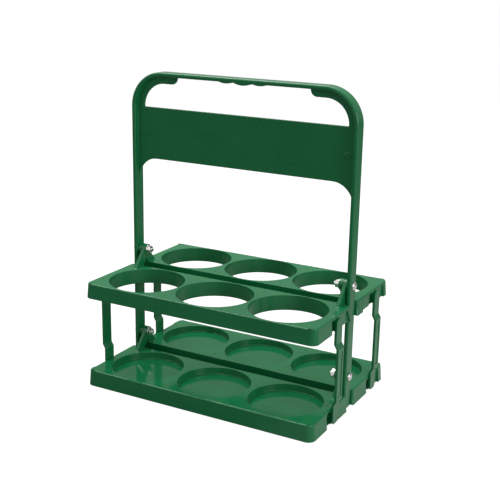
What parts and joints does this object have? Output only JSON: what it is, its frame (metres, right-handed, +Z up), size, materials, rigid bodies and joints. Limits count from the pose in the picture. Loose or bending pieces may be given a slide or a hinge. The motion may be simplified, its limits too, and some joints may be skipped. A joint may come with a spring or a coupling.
{
  "type": "bottle carrier",
  "caption": "Folding plastic bottle carrier: an inverted-U handle frame with two levels of hinged ringed trays, front and rear, that fold up against it on linking struts.",
  "frame": {"origin": "on the ground under the middle of the carrier", "axes": "+X to the right along the trays, +Y to the rear, +Z up the handle"},
  "size_m": [0.2536, 0.17, 0.303],
  "materials": {
    "green_plastic": "injection-moulded polypropylene, deep green, satin gloss with faint moulding ripple",
    "plated_steel": "bright nickel-plated steel"
  },
  "bodies": {
    "frame": {"handle_frame": "green_plastic", "screw_lower_left": "plated_steel", "screw_lower_right": "plated_steel", "screw_upper_left": "plated_steel", "screw_upper_right": "plated_steel", "washer_lower_left": "plated_steel", "washer_lower_right": "plated_steel", "washer_upper_left": "plated_steel", "washer_upper_right": "plated_steel", "nut_lower_left": "plated_steel", "nut_lower_right": "plated_steel", "nut_upper_left": "plated_steel", "nut_upper_right": "plated_steel"},
    "lower_front": {"lower_tray_front": "green_plastic"},
    "upper_front": {"upper_tray_front": "green_plastic"},
    "strut_front_left": {"strut_front_left": "green_plastic"},
    "strut_front_right": {"strut_front_right": "green_plastic"},
    "lower_rear": {"lower_tray_rear": "green_plastic"},
    "upper_rear": {"upper_tray_rear": "green_plastic"},
    "strut_rear_left": {"strut_rear_left": "green_plastic"},
    "strut_rear_right": {"strut_rear_right": "green_plastic"}
  },
  "joints": [
    {"name": "lower_front_fold", "type": "hinge", "parent": "frame", "child": "lower_front", "pos_m": [0, 0, 0.032], "axis": [-1, 0, 0], "range_deg": [0, 90]},
    {"name": "upper_front_fold", "type": "hinge", "parent": "frame", "child": "upper_front", "pos_m": [0, 0, 0.122], "axis": [-1, 0, 0], "range_deg": [0, 90]},
    {"name": "strut_front_left_swing", "type": "hinge", "parent": "lower_front", "child": "strut_front_left", "pos_m": [-0.1218, -0.0482, 0.0063], "axis": [-1, 0, 0], "range_deg": [-90, 0]},
    {"name": "strut_front_right_swing", "type": "hinge", "parent": "lower_front", "child": "strut_front_right", "pos_m": [0.1218, -0.0358, 0.0063], "axis": [-1, 0, 0], "range_deg": [-90, 0]},
    {"name": "lower_rear_fold", "type": "hinge", "parent": "frame", "child": "lower_rear", "pos_m": [0, 0, 0.032], "axis": [1, 0, 0], "range_deg": [0, 90]},
    {"name": "upper_rear_fold", "type": "hinge", "parent": "frame", "child": "upper_rear", "pos_m": [0, 0, 0.122], "axis": [1, 0, 0], "range_deg": [0, 90]},
    {"name": "strut_rear_left_swing", "type": "hinge", "parent": "lower_rear", "child": "strut_rear_left", "pos_m": [-0.1218, 0.043, 0.0063], "axis": [1, 0, 0], "range_deg": [-90, 0]},
    {"name": "strut_rear_right_swing", "type": "hinge", "parent": "lower_rear", "child": "strut_rear_right", "pos_m": [0.1218, 0.054, 0.0063], "axis": [1, 0, 0], "range_deg": [-90, 0]}
  ],
  "couplings": [
    {"joint": "upper_front_fold", "follows": "lower_front_fold", "ratio": 1},
    {"joint": "strut_front_left_swing", "follows": "lower_front_fold", "ratio": -1},
    {"joint": "strut_front_right_swing", "follows": "lower_front_fold", "ratio": -1},
    {"joint": "upper_rear_fold", "follows": "lower_rear_fold", "ratio": 1},
    {"joint": "strut_rear_left_swing", "follows": "lower_rear_fold", "ratio": -1},
    {"joint": "strut_rear_right_swing", "follows": "lower_rear_fold", "ratio": -1}
  ]
}
